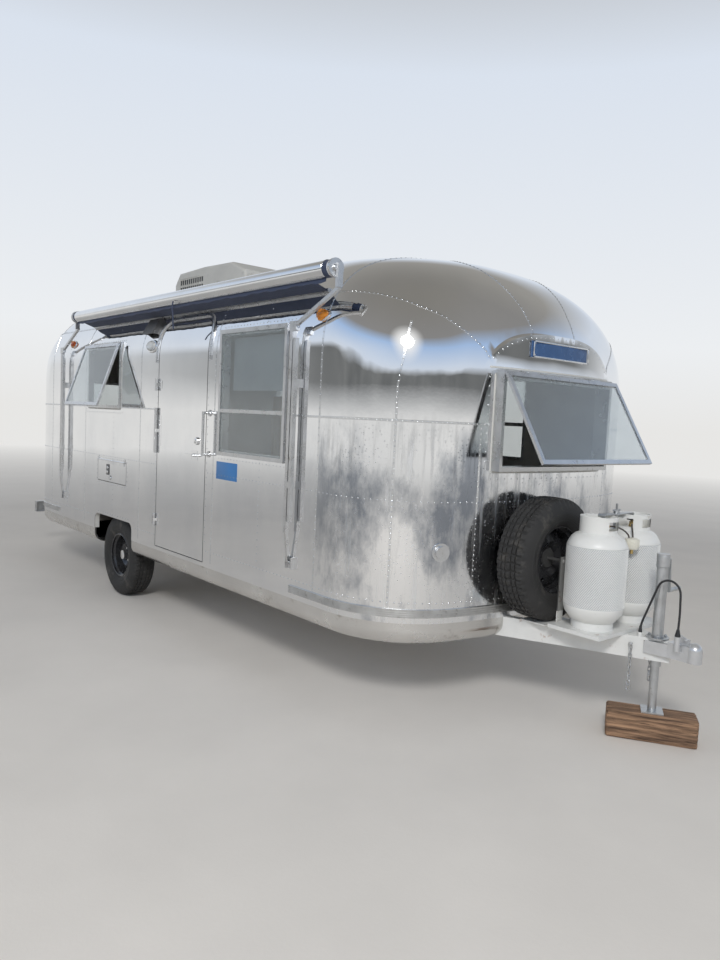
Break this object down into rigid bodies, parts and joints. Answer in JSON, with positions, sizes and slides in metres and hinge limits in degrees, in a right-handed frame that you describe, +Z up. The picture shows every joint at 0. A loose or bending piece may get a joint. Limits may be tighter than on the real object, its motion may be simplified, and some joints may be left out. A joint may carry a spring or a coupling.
{
  "type": "single-axle travel caravan",
  "caption": "Riveted aluminium travel caravan with domed ends, standing on its tongue jack, with turning wheels and opening door, sashes, hatch and roof lid.",
  "frame": {"origin": "on the ground below the tongue jack, at the centre of the timber block's base", "axes": "+X forward along the tongue, +Y to the street side, +Z up"},
  "size_m": [7.098, 2.5414, 2.8971],
  "materials": {
    "polished_aluminium": "polished, mirror-like sheet with weathering",
    "satin_aluminium": "satin extrusions and belly sheet",
    "white_steel": "white paint, chipped",
    "black_steel": "black paint",
    "galvanised": "zinc plated, dull",
    "tyre": "black rubber",
    "glass": "clear window glass",
    "tank_white": "white wrinkle paint",
    "amber": "amber lens",
    "red": "red lens",
    "beige_plastic": "weathered shroud plastic",
    "cream_plastic": "cream plastic",
    "blue_enamel": "blank blue plate with a pale edge",
    "timber": "weathered brown timber",
    "plywood": "plywood and cupboard fronts",
    "cloth_grey": "pale grey woven cover",
    "awning_vinyl": "pale vinyl",
    "brass": "valve brass",
    "chrome": "bright plated fittings"
  },
  "bodies": {
    "caravan": {"awning_arms": "satin_aluminium", "awning_cloth": "awning_vinyl", "awning_rail": "satin_aluminium", "awning_roller": "satin_aluminium", "axle": "black_steel", "belly_wrap": "satin_aluminium", "cabinets": "plywood", "chassis_members": "black_steel", "chassis_rails": "black_steel", "coupler": "white_steel", "door_surround": "satin_aluminium", "floor": "plywood", "frame_curb_rear": "satin_aluminium", "frame_front": "satin_aluminium", "front_end_lower": "polished_aluminium", "front_end_upper": "polished_aluminium", "front_sofa": "cloth_grey", "gas_cylinders": "tank_white", "gas_fittings": "brass", "marker_lamps": "amber", "name_plate": "blue_enamel", "nose_cap": "satin_aluminium", "panes_shut": "glass", "porch_lamp": "chrome", "rear_bed": "cloth_grey", "rear_bumper": "galvanised", "rear_end_lower": "polished_aluminium", "rear_end_upper": "polished_aluminium", "roof": "polished_aluminium", "roof_air_unit": "beige_plastic", "roof_vent": "satin_aluminium", "rub_rails": "satin_aluminium", "safety_chains": "galvanised", "sashes_shut": "satin_aluminium", "side_left": "polished_aluminium", "side_right": "polished_aluminium", "spare_rim": "black_steel", "spare_tyre": "tyre", "tail_lamps": "red", "timber_block": "timber", "tongue_frame": "white_steel", "tongue_jack": "galvanised", "umbilical_cable": "black_steel", "vent_hood": "beige_plastic", "window_frames": "satin_aluminium"},
    "wheel_right": {"tyre_right": "tyre", "rim_right": "black_steel", "hub_right": "chrome"},
    "wheel_left": {"tyre_left": "tyre", "rim_left": "black_steel", "hub_left": "chrome"},
    "door": {"door_panel": "polished_aluminium", "door_fittings": "chrome"},
    "front_sash": {"sash_front": "satin_aluminium", "pane_front": "glass"},
    "curb_sash": {"sash_curb_rear": "satin_aluminium", "pane_curb_rear": "glass"},
    "hatch": {"hatch_lid": "polished_aluminium"},
    "vent_lid": {"roof_vent_lid": "cream_plastic"}
  },
  "joints": [
    {"name": "wheel_right_spin", "type": "hinge", "parent": "caravan", "child": "wheel_right", "pos_m": [-4.286, -1, 0.342], "axis": [0, 1, 0], "continuous": true},
    {"name": "wheel_left_spin", "type": "hinge", "parent": "caravan", "child": "wheel_left", "pos_m": [-4.286, 1, 0.342], "axis": [0, 1, 0], "continuous": true},
    {"name": "door_swing", "type": "hinge", "parent": "caravan", "child": "door", "pos_m": [-3.472, -1.164, 1.33], "axis": [0, 0, -1], "range_deg": [0, 110]},
    {"name": "front_sash_swing", "type": "hinge", "parent": "caravan", "child": "front_sash", "pos_m": [-0.6745, 0, 1.89], "axis": [0, -1, 0], "range_deg": [-30, 5]},
    {"name": "curb_sash_swing", "type": "hinge", "parent": "caravan", "child": "curb_sash", "pos_m": [-4.515, -1.1755, 2.13], "axis": [-1, 0, 0], "range_deg": [-19, 10]},
    {"name": "hatch_swing", "type": "hinge", "parent": "caravan", "child": "hatch", "pos_m": [-4.325, -1.159, 1.147], "axis": [-1, 0, 0], "range_deg": [0, 90]},
    {"name": "vent_lid_swing", "type": "hinge", "parent": "caravan", "child": "vent_lid", "pos_m": [-2.511, 0, 2.67306], "axis": [0, -1, 0], "range_deg": [0, 60]}
  ]
}
